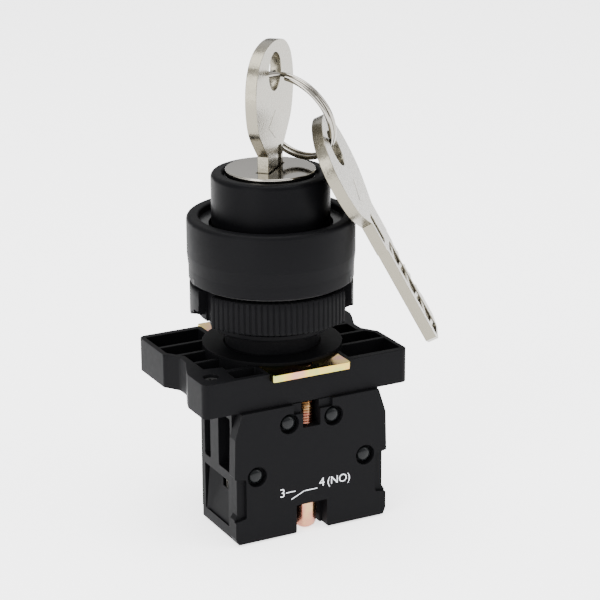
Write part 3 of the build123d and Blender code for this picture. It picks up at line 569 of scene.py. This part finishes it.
back = prism(back_outline, [(seat, 13.8) for seat in seats], 12.8, 14.4, bevel=0.15, square=(14.4, 12.8))
front = prism(front_outline, [(seat, None) for seat in seats], 14.4, 15.0, bevel=0.16, square=(14.4,))
finish_piece(placed(joined(back, front), FRONTWARD), "cover", BLACK, "block_cover",
             weighted=True)

domes = []
for x, z in STUDS:
    dome = turned([(0.0, 13.6), (1.3, 13.6), (1.3, 14.3)]
                  + [(1.3 * math.cos(math.radians(a)), 14.3 + 0.5 * math.sin(math.radians(a)))
                     for a in (15, 30, 45, 60, 75)] + [(0.0, 14.8)], 40)
    domes.append(placed(dome, FRONTWARD @ Matrix.Translation((x * MM, z * MM, 0))))
finish_piece(joined(*domes), "studs", BLACK_SHINY, "cover_studs", smooth=50)

# %% [markdown]
# ## Captive screw
# It hangs in the channel between the cover and the housing.

# %%
shank = [(0, -12.8), (1.1, -12.8), (1.45, -13.1)]
for turn in range(23):
    z = -13.2 - 0.5 * turn
    shank += [(1.48, z), (1.25, z - 0.25)]
shank += [(1.2, -25.4), (1.2, -37.6), (1.75, -37.6), (1.93, -37.8), (1.93, -42.1), (1.75, -42.5), (1.2, -42.95),
          (0.42, -43.05)]
bm = turned(shank + [(0.4, -42.1), (0, -42.1)], 64)
finish_piece(placed(bm, Matrix.Translation((0, -12.2 * MM, 0))), "captive_screw", COPPERY, "block_screw",
             smooth=40)

# %% [markdown]
# ## Printed terminal marks
# Thin white strokes: the two terminal numbers and the open contact between them.

# %%
INK_LEVEL = 15.012


def stroke(points, width):
    bm = bmesh.new()
    for a, b in zip(points, points[1:]):
        a, b = Vector(a), Vector(b)
        side = (b - a).orthogonal().normalized() * width / 2
        reach = (b - a).normalized() * width * 0.35
        bm.faces.new([bm.verts.new((p.x * MM, p.y * MM, INK_LEVEL * MM))
                      for p in (a - reach - side, b + reach - side, b + reach + side, a - reach + side)])
    return bm


def mark(text, x, z, size):
    curve = bpy.data.curves.new("mark", "FONT")
    curve.body = text
    curve.size = size * MM
    curve.offset = -0.012 * MM
    obj = bpy.data.objects.new("mark", curve)
    bpy.context.collection.objects.link(obj)
    mesh = bpy.data.meshes.new_from_object(obj)
    bpy.data.objects.remove(obj)
    bm = bmesh.new()
    bm.from_mesh(mesh)
    bpy.data.meshes.remove(mesh)
    return placed(bm, Matrix.Translation((x * MM, z * MM, INK_LEVEL * MM)))


signs = [mark("3", -6.35, -35.5, 2.3), mark("4", 1.4, -34.9, 2.3), mark("(NO)", 2.95, -34.9, 2.1),
         stroke([(-5.05, -34.8), (-3.3, -34.8)], 0.14),
         stroke([(-4.0, -36.2), (-1.5, -35.1), (1.0, -35.1)], 0.14)]
finish_piece(placed(joined(*signs), FRONTWARD), "terminal_marks", WHITE_INK, body="switch_body", smooth=30)

# %% [markdown]
# ## Pieces kept as the CAD made them
# They are inside the switch or seen only through its openings.

# %%
KEPT = {"sealing_gasket": RUBBER, "lock_barrel": ZINC, "lock_plug": BRASS, "wafers": BRASS,
        "wafer_springs": SPRING,
        "plug_clip": SPRING, "cam": ACETAL, "cam_screw": SPRING, "follower": ACETAL,
        "collar_clamp_screws": BLACK_OXIDE, "plunger": GREEN, "contact_bridge": BRASS,
        "bridge_tips": SILVER, "bridge_spring": SPRING,
        "return_spring": SPRING, "terminal_left": BRASS, "terminal_right": BRASS, "fixed_tips": SILVER,
        "terminal_screws": DULL_PLATE, "clamp_washers": DULL_PLATE}
for node, mat in KEPT.items():
    obj = frame["nodes"][node]
    obj.data.materials.clear()
    obj.data.materials.append(mat)
print("kept", len(KEPT))

# %% [markdown]
# ## Springs in the contact block
# Both coils stand on their lower end. Each gets its own copy of its mesh; nothing here shortens them as the
# pushed parts come down.

# %%
for node, joint, foot, keep in (("return_spring", "plunger_stroke", -41.15, 0.75),
                                ("bridge_spring", "contact_stroke", -26.88, 0.86)):
    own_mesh(frame["nodes"][node])
    print(node, "squashes to", keep)

# %% [markdown]
# ## Floor, light and camera
# A pale glowing floor, a wide soft light overhead and two soft lights beside the
# camera. The sky is dark low down, so that the metal has something dark to show.

# %%
floor_mesh = bpy.data.meshes.new("floor")
FLOOR_HALF, FLOOR_Z = 3, -0.0432
floor_corners = [(x * FLOOR_HALF, y * FLOOR_HALF, FLOOR_Z) for x, y in ((-1, -1), (1, -1), (1, 1), (-1, 1))]
floor_mesh.from_pydata(floor_corners, [], [(0, 1, 2, 3)])
paper = material("floor paper", (0.93, 0.93, 0.94), rough=0.8, spec=0.1)
glow = paper.node_tree.nodes["Principled BSDF"]
glow.inputs["Emission Color"].default_value = (1, 1, 1, 1)
glow.inputs["Emission Strength"].default_value = 2.1
floor_mesh.materials.append(paper)
floor = bpy.data.objects.new("floor", floor_mesh)
bpy.context.collection.objects.link(floor)

world = bpy.data.worlds.new("studio")
world.use_nodes = True
wt = world.node_tree
direction = wt.nodes.new("ShaderNodeTexCoord")
split = wt.nodes.new("ShaderNodeSeparateXYZ")
wt.links.new(direction.outputs["Generated"], split.inputs["Vector"])
sky = wt.nodes.new("ShaderNodeValToRGB")
SKY_GREYS = ((0.0, 0.9), (0.04, 0.06), (0.20, 0.08), (0.29, 1.3), (1.0, 1.4))
for height, grey in SKY_GREYS:
    if height == 0.0:
        stop = sky.color_ramp.elements[0]
    elif height == 1.0:
        stop = sky.color_ramp.elements[-1]
    else:
        stop = sky.color_ramp.elements.new(height)
    stop.color = (grey, grey, grey, 1)
wt.links.new(split.outputs["Z"], sky.inputs["Fac"])
wt.links.new(sky.outputs["Color"], wt.nodes["Background"].inputs["Color"])
wt.nodes["Background"].inputs["Strength"].default_value = 1.0
bpy.context.scene.world = world


def area_light(name, place, power, size):
    """A soft light that faces the switch."""
    data = bpy.data.lights.new(name, "AREA")
    data.energy = power
    data.shape = "RECTANGLE"
    data.size, data.size_y = size
    obj = bpy.data.objects.new(name, data)
    obj.location = place
    obj.rotation_euler = (-Vector(place)).to_track_quat("-Z", "Y").to_euler()
    bpy.context.collection.objects.link(obj)


area_light("overhead", (0.0, 0.05, 0.55), 5.0, (0.5, 0.5))
area_light("left", (-0.5, -0.25, 0.2), 3.0, (0.3, 0.5))
area_light("right", (0.45, -0.4, 0.25), 2.0, (0.3, 0.5))

CAMERA_PLACE = Vector((-0.164107, -0.326603, 0.118529))
azimuth, elevation, roll = math.radians(-27.46), math.radians(18.637), math.radians(-0.288)
back_way = Vector((math.sin(azimuth) * math.cos(elevation), -math.cos(azimuth) * math.cos(elevation),
                   math.sin(elevation)))
right_way = (-back_way).cross(Vector((0, 0, 1))).normalized()
up_way = right_way.cross(-back_way)
right_way, up_way = (right_way * math.cos(roll) + up_way * math.sin(roll),
                     up_way * math.cos(roll) - right_way * math.sin(roll))
camera_data = bpy.data.cameras.new("camera")
camera_data.angle = math.radians(15.587)
camera_data.clip_start = 0.01
camera = bpy.data.objects.new("camera", camera_data)
camera.matrix_world = Matrix.LocRotScale(CAMERA_PLACE, Matrix((right_way, up_way, back_way)).transposed(), None)
bpy.context.collection.objects.link(camera)
bpy.context.scene.camera = camera
